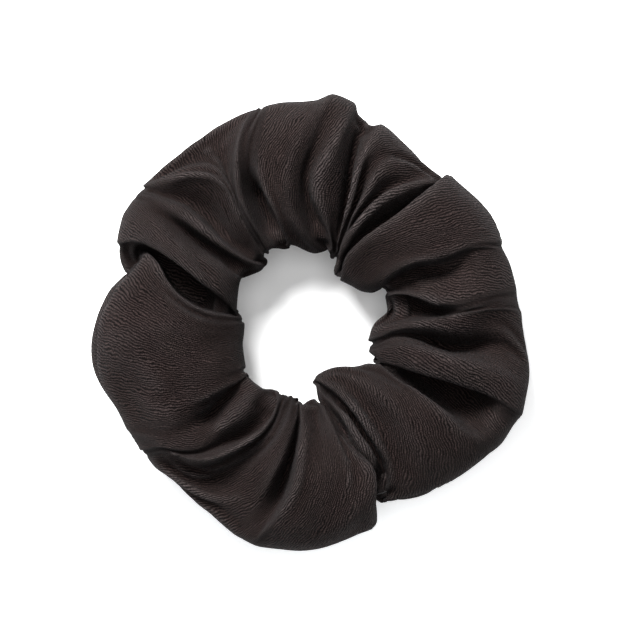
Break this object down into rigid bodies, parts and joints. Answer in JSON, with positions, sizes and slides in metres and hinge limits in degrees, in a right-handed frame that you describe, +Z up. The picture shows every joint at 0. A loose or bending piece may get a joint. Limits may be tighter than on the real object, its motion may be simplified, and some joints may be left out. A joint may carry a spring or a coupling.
{
  "type": "scrunchie",
  "caption": "Gathered cloth sleeve sewn into a ring round a flat braided elastic, which stretches open along one diameter to pass over hair.",
  "frame": {"origin": "centre of the ring's bounding box, on the surface that it lies on", "axes": "+Z up along the hole's axis, +Y towards the closing seam's half, which is the back; stretching moves the front half along -Y"},
  "size_m": [0.115, 0.1193, 0.027],
  "materials": {
    "sleeve_cotton": "matte",
    "elastic_braid": "matte",
    "elastic_rubber": "satin",
    "seam_thread": "satin",
    "join_thread": "satin"
  },
  "bodies": {
    "back_half": {"sleeve_back": "sleeve_cotton", "elastic_cover_back": "elastic_braid", "rubber_strands_back": "elastic_rubber", "tube_seam_needle_thread_back": "seam_thread", "tube_seam_bobbin_thread_back": "seam_thread", "closing_seam_needle_thread": "seam_thread", "closing_seam_bobbin_thread": "seam_thread", "elastic_join_needle_thread": "join_thread", "elastic_join_bobbin_thread": "join_thread"},
    "front_half": {"sleeve_front": "sleeve_cotton", "elastic_cover_front": "elastic_braid", "rubber_strands_front": "elastic_rubber", "tube_seam_needle_thread_front": "seam_thread", "tube_seam_bobbin_thread_front": "seam_thread"}
  },
  "joints": [
    {"name": "stretch", "type": "slide", "parent": "back_half", "child": "front_half", "axis": [0, -1, 0], "range_m": [0, 0.08], "stiffness_N_per_m": 50}
  ]
}
